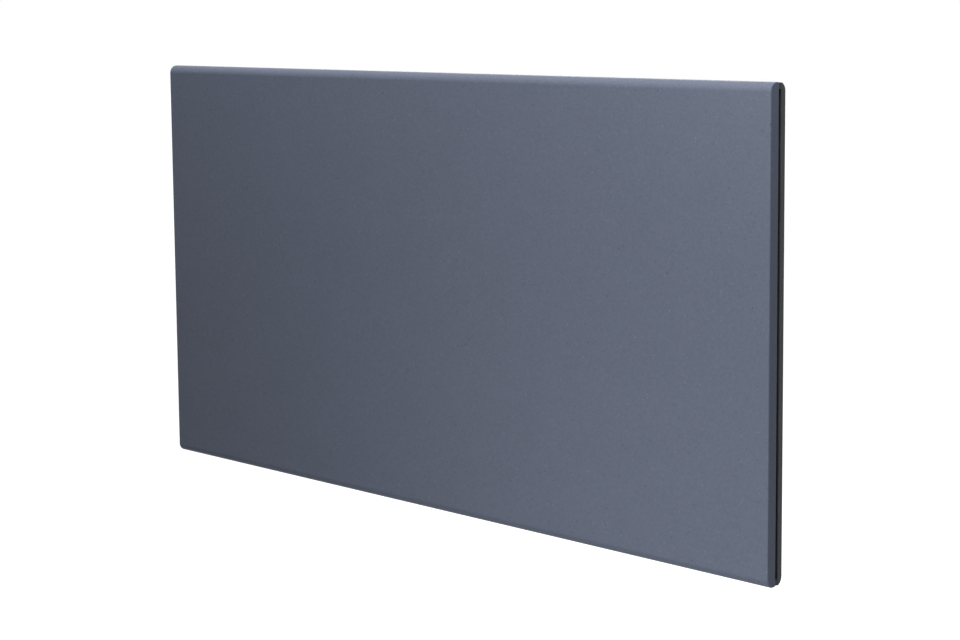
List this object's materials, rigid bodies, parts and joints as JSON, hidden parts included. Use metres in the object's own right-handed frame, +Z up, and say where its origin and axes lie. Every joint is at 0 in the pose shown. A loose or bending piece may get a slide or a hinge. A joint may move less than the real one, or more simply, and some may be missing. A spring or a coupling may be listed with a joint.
{
  "type": "convector heater",
  "caption": "Wall-hung electric panel convector: flat front with rolled long edges over a slotted rear casing, controls on top, hung on a hooked bracket.",
  "frame": {"origin": "centre of the four wall screws, on the wall plane", "axes": "+X across the heater to the right seen from the front, +Y into the wall, +Z up"},
  "size_m": [0.692, 0.084, 0.37],
  "materials": {
    "panel_paint": "structured powder coat, satin, blue grey",
    "casing_paint": "smooth satin dark grey paint",
    "seal_rubber": "matt black foam rubber",
    "zinc_steel": "zinc-plated, satin",
    "bracket_steel": "galvanised, satin",
    "shield_aluminium": "bright",
    "fin_aluminium": "dull",
    "sheath_steel": "heat-darkened stainless steel",
    "bush_ceramic": "glazed off-white; ceramic on the real product",
    "dark_plastic": "fine matt, moulded",
    "white_plastic": "fine matt, moulded",
    "button_plastic": "satin, light grey",
    "rocker_red": "glossy, red",
    "window_gloss": "glossy smoked window",
    "board_green": "solder-masked board",
    "relay_blue": "moulded case",
    "brass_earth": "bright",
    "lead_brown": "insulation",
    "lead_blue": "insulation",
    "lead_white": "silicone insulation",
    "grommet_rubber": "black rubber"
  },
  "bodies": {
    "wall_bracket": {"bracket_upright_left": "bracket_steel", "bracket_upright_right": "bracket_steel", "bracket_crossbar_top": "bracket_steel", "bracket_crossbar_bottom": "bracket_steel", "crossbar_rivets": "bracket_steel", "latch_pins": "bracket_steel"},
    "heater": {"front_cover": "panel_paint", "gap_seal_top": "seal_rubber", "gap_seal_bottom": "seal_rubber", "gap_seal_left": "seal_rubber", "gap_seal_right": "seal_rubber", "cover_screws": "zinc_steel", "rear_casing": "casing_paint", "partition_plate": "zinc_steel", "partition_screws": "zinc_steel", "partition_grommet": "grommet_rubber", "heat_shield": "shield_aluminium", "shield_posts": "zinc_steel", "shield_screws": "zinc_steel", "wall_bumpers": "grommet_rubber", "element_tube": "sheath_steel", "element_fins": "fin_aluminium", "element_pins": "zinc_steel", "element_bush_left": "bush_ceramic", "element_bush_right": "bush_ceramic", "element_hanger_left": "zinc_steel", "element_hanger_right": "zinc_steel", "hanger_screws": "zinc_steel", "limit_thermostat": "dark_plastic", "thermostat_screws": "zinc_steel", "control_housing": "dark_plastic", "control_fascia": "dark_plastic", "display_window": "window_gloss", "display_module": "white_plastic", "control_board": "board_green", "power_relay": "relay_blue", "board_screws": "zinc_steel", "key_switches": "dark_plastic", "switch_body": "dark_plastic", "terminal_block": "bush_ceramic", "terminal_screws": "zinc_steel", "earth_screw": "brass_earth", "cable_gland": "dark_plastic", "gland_nut": "dark_plastic", "room_sensor": "sheath_steel", "sensor_grommet": "grommet_rubber", "supply_leads": "lead_brown", "board_leads": "lead_blue", "element_leads": "lead_white", "sensor_lead": "lead_white"},
    "latch_left": {"latch_left": "bracket_steel"},
    "latch_right": {"latch_right": "bracket_steel"},
    "switch_rocker": {"switch_rocker": "rocker_red"},
    "button_minus": {"button_minus": "button_plastic"},
    "button_mode": {"button_mode": "button_plastic"},
    "button_plus": {"button_plus": "button_plastic"}
  },
  "joints": [
    {"name": "heater_lift", "type": "slide", "parent": "wall_bracket", "child": "heater", "axis": [0, 0, 1], "range_m": [0, 0.014]},
    {"name": "latch_left_pull", "type": "slide", "parent": "wall_bracket", "child": "latch_left", "axis": [0, 0, -1], "range_m": [0, 0.006], "stiffness_N_per_m": 150, "springref_m": -0.006},
    {"name": "latch_right_pull", "type": "slide", "parent": "wall_bracket", "child": "latch_right", "axis": [0, 0, -1], "range_m": [0, 0.006], "stiffness_N_per_m": 150, "springref_m": -0.006},
    {"name": "switch_rocker_tilt", "type": "hinge", "parent": "heater", "child": "switch_rocker", "pos_m": [0.312, -0.04475, 0.06], "axis": [0, -1, 0], "range_deg": [0, 20]},
    {"name": "button_minus_press", "type": "slide", "parent": "heater", "child": "button_minus", "axis": [0, 0, -1], "range_m": [0, 0.001], "stiffness_N_per_m": 200, "springref_m": -0.001},
    {"name": "button_mode_press", "type": "slide", "parent": "heater", "child": "button_mode", "axis": [0, 0, -1], "range_m": [0, 0.001], "stiffness_N_per_m": 200, "springref_m": -0.001},
    {"name": "button_plus_press", "type": "slide", "parent": "heater", "child": "button_plus", "axis": [0, 0, -1], "range_m": [0, 0.001], "stiffness_N_per_m": 200, "springref_m": -0.001}
  ]
}
